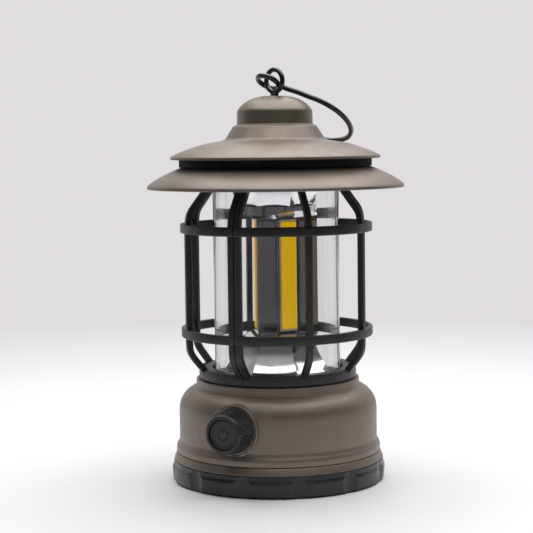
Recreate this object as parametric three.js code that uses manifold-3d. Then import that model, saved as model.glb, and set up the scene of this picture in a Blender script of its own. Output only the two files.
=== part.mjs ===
// Battery camping lantern: a double-hooded lantern with a wire hanger, a moulded cage round a
// clear globe, a three-sided mirror column with three light strips, and a round base with a
// dimmer knob, three battery cells and a twist-off foot.
// Millimetres, +Z up. The origin is on the axis at the resting surface; the knob faces -Y.
// An azimuth is measured from -Y towards +X.

import * as THREE from 'three';
import { mergeVertices } from 'three/addons/utils/BufferGeometryUtils.js';
import Module from 'manifold-3d';

const wasm = await Module();
wasm.setup();

// ---------------------------------------------------------------- driving dimensions

const GAP = 0.3;                 // clearance between touching pieces
const FINE = 32;                 // facets round the large casings
const MEDIUM = 20;               // facets round small turned pieces
const COARSE = 8;                // facets round screws and pins

const FOOT = { bottom: 0.4, top: 10.8, radius: 54.3, floor: 3.4, scallops: 12 };
const FOOT_COLLAR = { outer: 48, inner: 46, top: 17.5 };
const SCALLOP = { radius: 15.5, depth: 1.1, azimuth: 6 };
const PAD = { radius: 5.5, height: 1.8, circle: 40, count: 4, azimuth: 45 };

const FLANGE = { bottom: 11.1, top: 14.8, inner: 48.4 };
const HOUSING = { bottom: 15.1, bead: 52, radius: 50.45, deck: 49.6, top: 52 };
const BOSS = { radius: 13, front: 50.9, back: 46.4 };
const DECK_BOLTS = { circle: 36.4, count: 4, azimuth: 22.5 };
const BOARD_BOLTS = { x: 22, y: 10, post: 3, postBottom: 45 };

const CELL = { radius: 7.1, length: 48.5, nub: 2.6, nubLength: 1.4, pitch: 15.4, z: 12.3, count: 3 };
const TRAY = { length: 62, width: 49.4, bottom: 4.4, top: 23.4, wall: 1.5 };
const BOARD = { length: 56, width: 38, bottom: 43, thickness: 1.6 };

const KNOB = { z: 32.3, back: 51.3, front: 62.3, backRadius: 10.9, frontRadius: 9.4 };
const SHAFT = { radius: 2, inner: 39.4, outer: 59.2 };
const POT = { radius: 8.2, back: 36.5, front: 46.1, bushRadius: 3.6, bushEnd: 54.2 };

const CAGE = { bars: 8, barWidth: 3.2, barDepth: 3.2, face: 48.25, seam: 0.3 };
const CAGE_BASE = { bottom: 52.3, top: 57.8, outer: 40, inner: 33.2 };
const CAGE_CROWN = { bottom: 147.6, top: 152, outer: 38.6, inner: 33.2 };
const HOOP = { outer: 48.7, inner: 46, height: 4.6, lower: 75.9, upper: 128.6 };

const GLOBE = { outer: 32, inner: 30.2, bottom: 52.4, top: 152 };

const COLUMN = { radius: 21, bottom: 74, top: 139, ribAzimuth: 0.5, sides: 3, wall: 1.8 };
const POCKET = { face: 9.4, bottom: 76.4, top: 132.3, halfWidth: 6, flare: 1.5, slope: 0.38 };
const COB = { width: 10.4, strip: 8.9, thickness: 0.8, glow: 0.5, length: 54.6, glowLength: 52.4 };

const PLATE = { bottom: 152.3, top: 155, radius: 38.4, hub: 12, hubTop: 161.5, bore: 4 };
const HOOD_BOLTS = { circle: 24, count: 3, azimuth: 60, post: 3.2, postBottom: 163.7 };

const EYE = { wire: 1.25, radius: 5.7, centre: 202.15, stem: 1.9, bottom: 186.4, foot: 195.1, turn: -19.7 };
const WASHER = { radius: 5.6, top: 192.5, thickness: 0.8 };
const NUT = { corner: 4.4, height: 2.6 };
// The hook is drawn flat, then leaned, sloped and headed so that it rests on the hoods.
const HOOK = {
  wire: 1.35, ring: 5.62, ringCentre: [-3.48, 1.34], bow: 21.7, bowCentre: [24, 18], bowStart: -105, bowEnd: 110,
  lean: -40.7, slope: 33.9, heading: 71.5, place: [0.16, 0.46, 200.73],
};
const LEAD = { radius: 0.7, bottom: 45, top: 137.5, offset: 1.6 };

const STEEL_SCREW = { shank: 1.2, hole: 1.5, head: 2.4, headHeight: 1.5 };

// ---------------------------------------------------------------- colours

const COLOURS = {
  taupe: { color: 0x8c8378, roughness: 0.42, metalness: 0.55 },
  black: { color: 0x1d1c1e, roughness: 0.5, metalness: 0 },
  rubber: { color: 0x18181a, roughness: 0.85, metalness: 0 },
  clear: { color: 0xeef2f4, roughness: 0.04, metalness: 0, transparent: true, opacity: 0.3 },
  mirror: { color: 0xe6e6ea, roughness: 0.06, metalness: 1 },
  strip: { color: 0xd2a80c, roughness: 0.55, metalness: 0 },
  boardWhite: { color: 0xe8e8e4, roughness: 0.5, metalness: 0 },
  boardGreen: { color: 0x1f5a34, roughness: 0.5, metalness: 0 },
  steel: { color: 0xb9bbbf, roughness: 0.3, metalness: 1 },
  cell: { color: 0x3a4a5c, roughness: 0.35, metalness: 0.3 },
  wire: { color: 0x141416, roughness: 0.3, metalness: 0.1 },
};

// ---------------------------------------------------------------- shape helpers

/** Six times the signed volume that an indexed mesh encloses. */
function signedVolume(vertices, triangles) {
  const at = (i) => new THREE.Vector3().fromArray(vertices, 3 * i);
  let sum = 0;
  for (let t = 0; t < triangles.length; t += 3) {
    const [a, b, c] = [at(triangles[t]), at(triangles[t + 1]), at(triangles[t + 2])];
    sum += a.dot(b.cross(c));
  }
  return sum;
}

/** A three.js geometry as a solid: vertices joined, slivers on the axis dropped, faces outward. */
function solid(geometry) {
  const bare = geometry.clone();
  bare.deleteAttribute('normal');
  bare.deleteAttribute('uv');
  const merged = mergeVertices(bare, 1e-4);
  const vertices = merged.attributes.position.array;
  const triangles = [];
  for (let t = 0; t < merged.index.count; t += 3) {
    const [a, b, c] = [0, 1, 2].map((k) => merged.index.getX(t + k));
    if (a !== b && b !== c && c !== a) triangles.push(a, b, c);
  }
  if (signedVolume(vertices, triangles) < 0) triangles.reverse();
  return new wasm.Manifold(new wasm.Mesh({
    numProp: 3,
    vertProperties: new Float32Array(vertices),
    triVerts: new Uint32Array(triangles),
  }));
}

/** A solid back as a three.js geometry. */
function geometryOf(manifold) {
  const mesh = manifold.getMesh();
  const geometry = new THREE.BufferGeometry();
  geometry.setAttribute('position', new THREE.BufferAttribute(mesh.vertProperties, 3));
  geometry.setIndex(new THREE.BufferAttribute(mesh.triVerts, 1));
  return geometry;
}

const joined = (first, ...rest) => rest.reduce((sum, piece) => sum.add(piece), first);
const cut = (first, ...rest) => rest.reduce((left, piece) => left.subtract(piece), first);

/** A profile of [radius, height] points turned about +Z; azimuth 0 is -Y. */
function turned(profile, facets) {
  const points = profile.map(([radius, height]) => new THREE.Vector2(radius, height));
  return solid(new THREE.LatheGeometry(points, facets).rotateX(Math.PI / 2));
}

/** A closed ring with the given [radius, height] section. */
const ring = (section, facets) => turned([...section, section[0]], facets);

/** A rod about +Z between two heights. */
function rod(radius, bottom, top, facets) {
  return turned([[0, bottom], [radius, bottom], [radius, top], [0, top]], facets);
}

/** A tube about +Z between two heights. */
function tube(outer, inner, bottom, top, facets) {
  return ring([[inner, bottom], [outer, bottom], [outer, top], [inner, top]], facets);
}

/** A box by its centre and size. */
function box(centre, size) {
  return solid(new THREE.BoxGeometry(...size).translate(...centre));
}

/** A solid moved out to a radius and turned to an azimuth. */
function placed(manifold, radius, azimuth) {
  return manifold.translate([0, -radius, 0]).rotate([0, 0, azimuth]);
}

/** A solid made about +Z, laid along the knob's axis so that height becomes distance from the axis. */
const alongKnob = (manifold) => manifold.rotate([90, 0, 0]).translate([0, 0, KNOB.z]);

/** A round wire along a curve through points. */
function wire(points, radius, steps, sides) {
  const section = new THREE.Shape().absarc(0, 0, radius, 0, 2 * Math.PI, false);
  const extrudePath = new THREE.CatmullRomCurve3(points, false, 'centripetal');
  return solid(new THREE.ExtrudeGeometry(section, { steps, curveSegments: sides / 2, extrudePath }));
}

/** An outline of [x, y] points raised from z = 0 to a height. */
function plate(outline, height) {
  const shape = new THREE.Shape(outline.map(([x, y]) => new THREE.Vector2(x, y)));
  return solid(new THREE.ExtrudeGeometry(shape, { depth: height, bevelEnabled: false }));
}

/** A pan-head screw about +Z, head down, its head's top face at a height. */
function screw(headTop, length) {
  const { shank, head, headHeight } = STEEL_SCREW;
  const low = headTop - headHeight;
  return turned([
    [0, low + 0.5], [0.7, low], [head - 0.5, low], [head, low + 0.5], [head, headTop], [shank, headTop],
    [shank, headTop + length - 0.8], [0, headTop + length],
  ], COARSE);
}

/** Points on an arc in the XY plane, angles in degrees from +X. */
function arc([x, y], radius, start, end, count) {
  return Array.from({ length: count + 1 }, (_, i) => {
    const angle = THREE.MathUtils.degToRad(start + ((end - start) * i) / count);
    return new THREE.Vector3(x + radius * Math.cos(angle), y + radius * Math.sin(angle), 0);
  });
}

/** The azimuths of evenly spaced copies. */
const spaced = (count, first) => Array.from({ length: count }, (_, i) => first + (360 / count) * i);

// ---------------------------------------------------------------- foot

function footCover() {
  const { bottom, top, radius, floor } = FOOT;
  const body = turned([
    [0, bottom], [radius - 1.3, bottom], [radius - 0.4, bottom + 0.9], [radius, bottom + 5],
    [radius, 7.5], [radius - 0.7, 8.7], [radius - 0.8, top], [FOOT_COLLAR.outer, top],
    [FOOT_COLLAR.outer, FOOT_COLLAR.top], [FOOT_COLLAR.inner, FOOT_COLLAR.top],
    [FOOT_COLLAR.inner, floor], [0, floor],
  ], FINE);
  const cutter = rod(SCALLOP.radius, bottom - 1, top + 1, 2 * MEDIUM);
  const reach = radius - SCALLOP.depth + SCALLOP.radius;
  const scallops = spaced(FOOT.scallops, SCALLOP.azimuth).map((azimuth) => placed(cutter, reach, azimuth));
  const recess = rod(PAD.radius + GAP, -1, PAD.height + GAP, 2 * COARSE);
  const recesses = spaced(PAD.count, PAD.azimuth).map((azimuth) => placed(recess, PAD.circle, azimuth));
  return cut(body, ...scallops, ...recesses);
}

function footPad(index) {
  const pad = turned([
    [0, 0], [PAD.radius - 0.4, 0], [PAD.radius, 0.4], [PAD.radius, PAD.height], [0, PAD.height],
  ], 2 * COARSE);
  return placed(pad, PAD.circle, spaced(PAD.count, PAD.azimuth)[index]);
}

// ---------------------------------------------------------------- base casing

function baseFlange() {
  const { bottom, top, inner } = FLANGE;
  return ring([
    [inner, bottom], [53.4, bottom], [53.2, 11.9], [52.4, 13.7], [51.8, top], [inner, top],
  ], FINE);
}

/** The outer line of the housing, from its lower edge up over the shoulder to the step ring. */
const HOUSING_LINE = [
  [HOUSING.bead, HOUSING.bottom], [HOUSING.bead, 18], [50.9, 20.1], [HOUSING.radius, 21.3], [HOUSING.radius, 36.4],
  [49.7, 40.4], [48, 43.8], [45, 46.7], [41.5, 47.9], [41.5, 51.7], [41.2, HOUSING.top],
];

/** The line inside the housing, from the deck's underside down to the lower edge. */
const HOUSING_INSIDE = [
  [39.4, HOUSING.deck], [39.4, 47], [43.7, 45.2], [46.9, 41.4], [48.4, 36.4], [48.4, HOUSING.bottom],
];

function baseHousing() {
  const wireHole = 5;
  const shell = ring([
    ...HOUSING_LINE, [wireHole, HOUSING.top], [wireHole, HOUSING.deck], ...HOUSING_INSIDE,
  ], FINE);
  const boss = alongKnob(rod(BOSS.radius, BOSS.back, BOSS.front, MEDIUM));
  const boardPost = rod(BOARD_BOLTS.post, BOARD_BOLTS.postBottom, HOUSING.deck + 0.5, COARSE);
  const posts = [-1, 1].map((side) => boardPost.translate([side * BOARD_BOLTS.x, BOARD_BOLTS.y, 0]));
  const pilot = rod(STEEL_SCREW.hole, 40, HOUSING.deck + 1, COARSE);
  const pilots = [-1, 1].map((side) => pilot.translate([side * BOARD_BOLTS.x, BOARD_BOLTS.y, 0]));
  const bushHole = alongKnob(rod(POT.bushRadius + GAP, 40, 60, MEDIUM));
  const deckHole = rod(STEEL_SCREW.hole, 40, 60, COARSE);
  const deckHoles = spaced(DECK_BOLTS.count, DECK_BOLTS.azimuth)
    .map((azimuth) => placed(deckHole, DECK_BOLTS.circle, azimuth));
  return cut(joined(shell, boss, ...posts), bushHole, ...pilots, ...deckHoles);
}

function deckScrew(index) {
  const azimuth = spaced(DECK_BOLTS.count, DECK_BOLTS.azimuth)[index];
  return placed(screw(HOUSING.deck - GAP, 6), DECK_BOLTS.circle, azimuth);
}

// ---------------------------------------------------------------- battery compartment

/** The sideways place of a cell's axis. */
const cellOffset = (index) => (index - (CELL.count - 1) / 2) * CELL.pitch;

function batteryTray() {
  const { length, width, bottom, top, wall } = TRAY;
  const height = top - bottom;
  const body = box([0, 0, (bottom + top) / 2], [length, width, height]);
  const rooms = Array.from({ length: CELL.count }, (_, i) => box(
    [0, cellOffset(i), (bottom + top) / 2 - wall], [length - 2 * wall, CELL.pitch - 0.8, height],
  ));
  return cut(body, ...rooms);
}

/** Neighbouring cells lie head to tail. */
const cellSide = (index) => (index % 2 ? -1 : 1);

function batteryCell(index) {
  const half = CELL.length / 2;
  const cell = turned([
    [0, -half], [CELL.radius - 0.6, -half], [CELL.radius, -half + 0.6], [CELL.radius, half - 0.6],
    [CELL.radius - 0.6, half], [CELL.nub, half], [CELL.nub, half + CELL.nubLength], [0, half + CELL.nubLength],
  ], 2 * COARSE);
  return cell.rotate([0, 90 * cellSide(index), 0]).translate([2 * cellSide(index), cellOffset(index), CELL.z]);
}

/** A contact spring at a cell's flat end. */
function contactSpring(index) {
  const turns = 3;
  const radius = 4;
  const start = CELL.length / 2 - 2 + 0.8;
  const length = TRAY.length / 2 - TRAY.wall - start - 0.8;
  const steps = 8 * turns;
  const points = Array.from({ length: steps + 1 }, (_, i) => {
    const angle = (2 * Math.PI * turns * i) / steps;
    return new THREE.Vector3(radius * Math.cos(angle), radius * Math.sin(angle), start + (length * i) / steps);
  });
  const coil = wire(points, 0.35, steps, 6);
  return coil.rotate([0, -90 * cellSide(index), 0]).translate([0, cellOffset(index), CELL.z]);
}

/** A sprung plate at a cell's raised end. */
function contactPlate(index) {
  const x = TRAY.length / 2 - TRAY.wall - GAP - 0.25;
  return box([cellSide(index) * x, cellOffset(index), CELL.z], [0.5, 9, 10]);
}

// ---------------------------------------------------------------- electronics and knob

function driverBoard() {
  const { length, width, bottom, thickness } = BOARD;
  const body = box([0, 6, bottom + thickness / 2], [length, width, thickness]);
  const hole = rod(STEEL_SCREW.hole, 40, 50, COARSE);
  const holes = [-1, 1].map((side) => hole.translate([side * BOARD_BOLTS.x, BOARD_BOLTS.y, 0]));
  const driver = box([-6, 2, bottom - 1.2], [7, 6, 2.6]);
  const coil = rod(4, bottom - 4, bottom + 0.2, COARSE).translate([10, 4, 0]);
  const capacitor = rod(2.5, bottom - 5, bottom + 0.2, COARSE).translate([-14, 16, 0]);
  return cut(joined(body, driver, coil, capacitor), ...holes);
}

function boardScrew(side) {
  return screw(BOARD.bottom - GAP, 5.5).translate([side * BOARD_BOLTS.x, BOARD_BOLTS.y, 0]);
}

function dimmerBody() {
  const { radius, back, front, bushRadius, bushEnd } = POT;
  const bore = SHAFT.radius + GAP;
  return alongKnob(turned([
    [0, back], [radius, back], [radius, front], [bushRadius, front], [bushRadius, bushEnd],
    [bore, bushEnd], [bore, SHAFT.inner - GAP], [0, SHAFT.inner - GAP],
  ], MEDIUM));
}

function dimmerNut() {
  const corner = 5.9;
  const [low, high] = [BOSS.front + GAP, BOSS.front + GAP + 2];
  const blank = rod(corner, low, high, 6);
  return alongKnob(cut(blank, rod(POT.bushRadius + GAP, low - 1, high + 1, MEDIUM)));
}

function dimmerShaft() {
  const { radius, inner, outer } = SHAFT;
  return alongKnob(turned([
    [0, inner], [radius, inner], [radius, outer - 0.5], [radius - 0.5, outer], [0, outer],
  ], MEDIUM));
}

function controlKnob() {
  const { back, front, backRadius, frontRadius } = KNOB;
  const skirt = 7.6;
  const socket = SHAFT.radius + GAP;
  const seat = 59.8;
  const bed = 60.1;
  const lip = 7.5;
  return alongKnob(turned([
    [0, seat], [socket, seat], [socket, back + 5.2], [skirt, back + 5.2], [skirt, back], [backRadius, back],
    [backRadius, back + 0.8], [frontRadius + 0.3, front - 1.2], [frontRadius - 0.6, front], [lip, front],
    [lip, bed], [0, bed],
  ], MEDIUM + 4));
}

function knobCap() {
  const bed = 60.4;
  const face = 61.6;
  const radius = 7.2;
  return alongKnob(turned([[0, bed], [radius, bed], [radius, face - 0.3], [radius - 0.3, face], [0, face]], MEDIUM));
}

// ---------------------------------------------------------------- cage

/** The outer face of a bar, as [radius, height] from the base ring up to the crown ring. */
const BAR_LINE = [
  [39.4, 55], [41.4, 57.6], [46.1, 63.3], [47.4, 65.4], [48.1, 67.8], [CAGE.face, 70],
  [CAGE.face, 130], [48, 133], [47.3, 136.2], [46.2, 138.4], [43.4, 142], [38.2, 148.9],
];

/** The outline of a bar seen from its side: the outer face and the same line moved in. */
function barOutline() {
  const inner = BAR_LINE.map(([radius, height], i) => {
    const [r0, z0] = BAR_LINE[Math.max(0, i - 1)];
    const [r1, z1] = BAR_LINE[Math.min(BAR_LINE.length - 1, i + 1)];
    const length = Math.hypot(r1 - r0, z1 - z0);
    return [radius - (CAGE.barDepth * (z1 - z0)) / length, height + (CAGE.barDepth * (r1 - r0)) / length];
  });
  return [...BAR_LINE, ...inner.reverse()];
}

function cageBar(width, azimuth) {
  const upright = plate(barOutline(), width).translate([0, 0, -width / 2]);
  return upright.rotate([90, 0, 0]).rotate([0, 0, azimuth - 90]);
}

function wholeCage() {
  const seamBars = [0, 180];
  const bars = spaced(CAGE.bars, 0).map((azimuth) => {
    const width = seamBars.includes(azimuth) ? 2 * CAGE.barWidth + CAGE.seam : CAGE.barWidth;
    return cageBar(width, azimuth);
  });
  const hoops = [HOOP.lower, HOOP.upper].map((height) => tube(
    HOOP.outer, HOOP.inner, height - HOOP.height / 2, height + HOOP.height / 2, FINE,
  ));
  const base = tube(CAGE_BASE.outer, CAGE_BASE.inner, CAGE_BASE.bottom, CAGE_BASE.top, FINE);
  const crown = tube(CAGE_CROWN.outer, CAGE_CROWN.inner, CAGE_CROWN.bottom, CAGE_CROWN.top, FINE);
  const deckHole = rod(STEEL_SCREW.hole, 50, 56.4, COARSE);
  const crownHole = rod(STEEL_SCREW.hole, 148.6, 153, COARSE);
  const holes = spaced(DECK_BOLTS.count, DECK_BOLTS.azimuth).flatMap((azimuth) => [
    placed(deckHole, DECK_BOLTS.circle, azimuth), placed(crownHole, DECK_BOLTS.circle, azimuth),
  ]);
  return cut(joined(base, crown, ...hoops, ...bars), ...holes);
}

/** One moulded half of the cage, on the side of +X or -X. */
function cageHalf(whole, side) {
  const reach = 60;
  const keep = box([side * (reach / 2 + CAGE.seam / 2), 0, 100], [reach, 2 * reach, 120]);
  return whole.intersect(keep);
}

// ---------------------------------------------------------------- globe and light column

function globe() {
  const { outer, inner, bottom, top } = GLOBE;
  return tube(outer, inner, bottom, top, FINE);
}

/** The flared, eight-sided mirror skirt between the deck and the column. */
function lowerReflector() {
  return ring([
    [29.6, 52.6], [29.6, 55.4], [28.4, 57], [25.1, 62.2], [22.8, 66.2], [21.5, 69.4], [21, 72], [21, 73.7],
    [15, 73.7], [15, 72.2], [19.4, 72.2], [20, 69], [21.2, 65.6], [23.4, 61.6], [26.6, 56.4], [27.8, 54],
    [27.8, 52.6],
  ], CAGE.bars);
}

/** The eight-sided mirror above the column, which flares out under the crown. */
function upperReflector() {
  return ring([
    [6, 139.3], [20.8, 139.3], [21.6, 142.2], [23.2, 146.2], [25.6, 149.6], [29.6, 151.8], [27.6, 151.8],
    [24.2, 150], [21.8, 147], [19.6, 140.9], [6, 140.9],
  ], CAGE.bars);
}

/** The space in front of one light strip: a shallow V with sloping ends. */
function pocket(azimuth) {
  const { face, bottom, top, halfWidth, flare, slope } = POCKET;
  const reach = 30;
  const rise = (reach - face) * slope;
  const side = plate([[face, bottom], [reach, bottom - rise], [reach, top + rise], [face, top]], 60)
    .translate([0, 0, -30]).rotate([90, 0, 0]);
  const wide = 30;
  const lift = (flare * (wide - halfWidth)) / 12.6;
  const section = plate([
    [face, -halfWidth], [face + lift, -wide], [reach + 20, -wide], [reach + 20, wide], [face + lift, wide],
    [face, halfWidth],
  ], 160);
  return side.intersect(section).rotate([0, 0, azimuth - 90]);
}

const stripAzimuths = spaced(COLUMN.sides, COLUMN.ribAzimuth + 180 / COLUMN.sides);

/** A hollow moulding: a round bar cut back on three sides, open inside from end to end. */
function reflectorColumn() {
  const { radius, bottom, top, ribAzimuth, sides, wall } = COLUMN;
  const body = rod(radius, bottom, top, FINE);
  const room = rod(2 * (POCKET.face - wall), bottom - 1, top + 1, sides).rotate([0, 0, ribAzimuth]);
  return cut(body, room, ...stripAzimuths.map(pocket));
}

/** A flat plate standing in a pocket, a distance in front of its face. */
function standing(index, width, thickness, length, front) {
  const middle = (POCKET.bottom + POCKET.top) / 2;
  const strip = box([0, -(POCKET.face + front + thickness / 2), middle], [width, thickness, length]);
  return strip.rotate([0, 0, stripAzimuths[index]]);
}

const cobBoard = (index) => standing(index, COB.width, COB.thickness, COB.length, GAP);
const cobStrip = (index) => standing(index, COB.strip, COB.glow, COB.glowLength, COB.thickness + 2 * GAP);

// ---------------------------------------------------------------- hoods and hanger

function topPlate() {
  const { bottom, top, radius, hub, hubTop, bore } = PLATE;
  const body = ring([
    [bore, bottom], [radius, bottom], [radius, top], [hub + 2, top], [hub, top + 2], [hub, hubTop], [bore, hubTop],
  ], FINE);
  const hole = rod(STEEL_SCREW.hole, bottom - 1, top + 1, COARSE);
  return cut(body, ...spaced(DECK_BOLTS.count, DECK_BOLTS.azimuth)
    .map((azimuth) => placed(hole, DECK_BOLTS.circle, azimuth)));
}

function crownScrew(index) {
  const azimuth = spaced(DECK_BOLTS.count, DECK_BOLTS.azimuth)[index];
  const upsideDown = screw(0, 5.4).rotate([180, 0, 0]).translate([0, 0, PLATE.top + GAP]);
  return placed(upsideDown, DECK_BOLTS.circle, azimuth);
}

function lowerHood() {
  const body = ring([
    [63.4, 148.4], [65, 148.4], [65, 149.4], [64.2, 150.6], [58.5, 154.3], [49.6, 158.4], [40.4, 161.4],
    [30, 163.4], [PLATE.bore, 163.4], [PLATE.bore, 161.8], [30, 161.8], [39.8, 159.9], [48.8, 156.9],
    [57.5, 152.8], [62.9, 149.4],
  ], FINE);
  const hole = rod(STEEL_SCREW.hole, 160, 165, COARSE);
  return cut(body, ...spaced(HOOD_BOLTS.count, HOOD_BOLTS.azimuth)
    .map((azimuth) => placed(hole, HOOD_BOLTS.circle, azimuth)));
}

function hoodSpacer() {
  return ring([[42.3, 161.4], [48.8, 159.2], [48.8, 164.3], [42.3, 166.6]], FINE);
}

/** The outer line of the upper hood, from its rim up over the cone and neck to the dome. */
const UPPER_HOOD_LINE = [
  [53.1, 163.1], [53.1, 164.2], [49.3, 166.4], [43.9, 168.4], [37.3, 170.5], [27.2, 172.4], [24.8, 173.9],
  [21.8, 178.6], [19.3, 180.4], [19, 187], [16.3, 190.5], [12.4, 193], [6, 194.6],
];

function upperHood() {
  const stemHole = EYE.stem + GAP;
  const shell = ring([
    ...UPPER_HOOD_LINE, [stemHole, 194.7], [stemHole, 192.8], [6, 192.7], [11.6, 191.3], [15, 189],
    [17.2, 186.2], [17.5, 179.3], [20.4, 177.5], [23.5, 172.6], [26.8, 170.6], [36.8, 168.8], [43.3, 166.7],
    [48.5, 164.8], [51.5, 163.1],
  ], FINE);
  const post = rod(HOOD_BOLTS.post, HOOD_BOLTS.postBottom, 172.4, COARSE);
  const hole = rod(STEEL_SCREW.hole, 160, 170, COARSE);
  const around = (piece) => spaced(HOOD_BOLTS.count, HOOD_BOLTS.azimuth)
    .map((azimuth) => placed(piece, HOOD_BOLTS.circle, azimuth));
  return cut(joined(shell, ...around(post)), ...around(hole));
}

function hoodScrew(index) {
  const azimuth = spaced(HOOD_BOLTS.count, HOOD_BOLTS.azimuth)[index];
  return placed(screw(161.5, 7.6), HOOD_BOLTS.circle, azimuth);
}

/** A closed wire eye on a stem through the dome. */
function hangerEye() {
  const { wire: thickness, radius, centre, stem, bottom, foot, turn } = EYE;
  const leg = (side) => [
    new THREE.Vector3(side * thickness, foot - centre, 0),
    new THREE.Vector3(side * (thickness + 0.1), foot + 1.2 - centre, 0),
  ];
  const path = [...leg(1), ...arc([0, 0], radius, -40, 220, 16), ...leg(-1).reverse()];
  const loop = wire(path, thickness, 30, 8).rotate([90, 0, 0]).translate([0, 0, centre]);
  return joined(loop, rod(stem, bottom, foot + 1, COARSE)).rotate([0, 0, turn]);
}

function eyeWasher() {
  const { radius, top, thickness } = WASHER;
  return tube(radius, EYE.stem + GAP, top - thickness, top, MEDIUM);
}

function eyeNut() {
  const top = WASHER.top - WASHER.thickness - GAP;
  const blank = rod(NUT.corner, top - NUT.height, top, 6);
  return cut(blank, rod(EYE.stem + GAP, top - NUT.height - 1, top + 1, COARSE));
}

/** A round bow with a closed ring at one end that is linked through the hanger eye. */
function hook() {
  const { wire: thickness, ringCentre, bowCentre, bow, bowStart, bowEnd, lean, slope, heading, place } = HOOK;
  const link = solid(new THREE.TorusGeometry(HOOK.ring, thickness, 8, 24)).translate([...ringCentre, 0]);
  const neck = [[ringCentre[0] + HOOK.ring, 0], [6.2, -0.6], [12.2, -2.2]]
    .map(([x, y]) => new THREE.Vector3(x, y, 0));
  const arm = wire([...neck, ...arc(bowCentre, bow, bowStart, bowEnd, 14)], thickness, 34, 8);
  return joined(link, arm).rotate([0, 0, lean]).rotate([0, slope, 0]).rotate([0, 0, heading]).translate(place);
}

/** A lead from the driver board up the column's bore to the light strips. */
function lightLead(side) {
  const { radius, bottom, top, offset } = LEAD;
  return rod(radius, bottom, top, COARSE).translate([side * offset, 0, 0]);
}

// ---------------------------------------------------------------- assembly

const lantern = new THREE.Group();

function add(name, manifold, colour) {
  const mesh = new THREE.Mesh(geometryOf(manifold), new THREE.MeshStandardMaterial(COLOURS[colour]));
  mesh.name = name;
  lantern.add(mesh);
}

/** Adds numbered copies of a piece. */
function addEach(name, count, make, colour) {
  for (let i = 0; i < count; i += 1) add(`${name}_${i + 1}`, make(i), colour);
}

add('foot_cover', footCover(), 'black');
addEach('foot_pad', PAD.count, footPad, 'rubber');
add('base_flange', baseFlange(), 'taupe');
add('base_housing', baseHousing(), 'taupe');
addEach('deck_screw', DECK_BOLTS.count, deckScrew, 'steel');
add('battery_tray', batteryTray(), 'black');
addEach('battery_cell', CELL.count, batteryCell, 'cell');
addEach('contact_spring', CELL.count, contactSpring, 'steel');
addEach('contact_plate', CELL.count, contactPlate, 'steel');
add('driver_board', driverBoard(), 'boardGreen');
addEach('board_screw', 2, (i) => boardScrew(2 * i - 1), 'steel');
add('dimmer_body', dimmerBody(), 'steel');
add('dimmer_nut', dimmerNut(), 'steel');
add('dimmer_shaft', dimmerShaft(), 'steel');
add('control_knob', controlKnob(), 'black');
add('knob_cap', knobCap(), 'black');

const cage = wholeCage();
add('cage_left', cageHalf(cage, -1), 'black');
add('cage_right', cageHalf(cage, 1), 'black');
add('globe', globe(), 'clear');
add('lower_reflector', lowerReflector(), 'mirror');
add('reflector_column', reflectorColumn(), 'mirror');
add('upper_reflector', upperReflector(), 'mirror');
addEach('led_board', COLUMN.sides, cobBoard, 'boardWhite');
addEach('led_strip', COLUMN.sides, cobStrip, 'strip');
add('top_plate', topPlate(), 'black');
addEach('crown_screw', DECK_BOLTS.count, crownScrew, 'steel');
add('lower_hood', lowerHood(), 'taupe');
add('hood_spacer', hoodSpacer(), 'black');
add('upper_hood', upperHood(), 'taupe');
addEach('hood_screw', HOOD_BOLTS.count, hoodScrew, 'steel');
addEach('light_lead', 2, (i) => lightLead(2 * i - 1), 'rubber');
add('hanger_eye', hangerEye(), 'wire');
add('eye_washer', eyeWasher(), 'steel');
add('eye_nut', eyeNut(), 'steel');
add('hook', hook(), 'wire');

export default lantern;
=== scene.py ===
"""Camping lantern: the looks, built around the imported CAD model.

Outlines are in millimetres, [radius, height], and azimuths are measured from -Y towards +X, as in the
part. Every finer piece takes the place of the CAD node that it stands for and rides on the same body.
"""

import math

import bmesh
import bpy
from mathutils import Matrix, Vector


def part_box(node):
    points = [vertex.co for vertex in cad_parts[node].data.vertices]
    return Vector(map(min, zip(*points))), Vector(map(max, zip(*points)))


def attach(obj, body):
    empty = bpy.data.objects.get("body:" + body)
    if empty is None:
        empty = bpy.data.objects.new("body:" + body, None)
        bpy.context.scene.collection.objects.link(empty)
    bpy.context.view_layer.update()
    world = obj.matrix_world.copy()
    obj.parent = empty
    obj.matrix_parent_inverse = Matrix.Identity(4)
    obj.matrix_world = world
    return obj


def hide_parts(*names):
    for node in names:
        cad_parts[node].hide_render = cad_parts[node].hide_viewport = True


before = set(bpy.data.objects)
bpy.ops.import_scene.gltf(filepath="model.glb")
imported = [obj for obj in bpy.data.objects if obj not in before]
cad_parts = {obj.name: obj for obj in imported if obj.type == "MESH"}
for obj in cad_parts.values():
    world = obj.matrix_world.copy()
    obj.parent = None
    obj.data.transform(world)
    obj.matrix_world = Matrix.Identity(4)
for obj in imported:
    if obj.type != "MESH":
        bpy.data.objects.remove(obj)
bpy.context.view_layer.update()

MM = 0.001
FINE = 256          # facets round the large casings
SMOOTH = 128        # facets round small turned pieces
SHARP = 32          # faces that meet at more degrees than this keep a hard edge
WIRE_END = 0.5      # height of a wire's domed end, as a share of its radius
KNOB_AXIS = (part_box("knob_cap")[0].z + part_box("knob_cap")[1].z) / 2 / MM

# ---------------------------------------------------------------- outlines


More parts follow.
